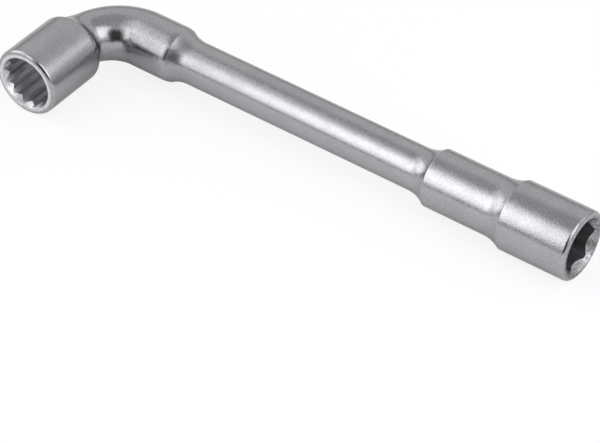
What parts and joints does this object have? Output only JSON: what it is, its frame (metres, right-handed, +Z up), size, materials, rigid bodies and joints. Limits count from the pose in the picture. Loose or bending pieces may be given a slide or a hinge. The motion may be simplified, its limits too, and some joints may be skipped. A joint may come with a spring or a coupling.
{
  "type": "l-shaped socket wrench",
  "caption": "L-shaped socket wrench: a round stepped shank with a hexagonal socket at its end and, round a tight elbow, a short head with a bi-hexagonal socket, for turning nuts and bolts.",
  "frame": {"origin": "middle of the wrench's outline seen from above, at the surface it lies on", "axes": "+X along the shank towards the hexagonal socket's mouth, the bi-hexagonal head points along -Y, +Z up, square to the plane of the L"},
  "size_m": [0.1626, 0.0446, 0.0195],
  "materials": {
    "chrome_body": "satin",
    "chrome_socket": "satin"
  },
  "bodies": {
    "root": {"bihex_head": "chrome_socket", "elbow": "chrome_body", "shank": "chrome_body", "collar": "chrome_body", "hex_socket": "chrome_socket"}
  },
  "joints": []
}
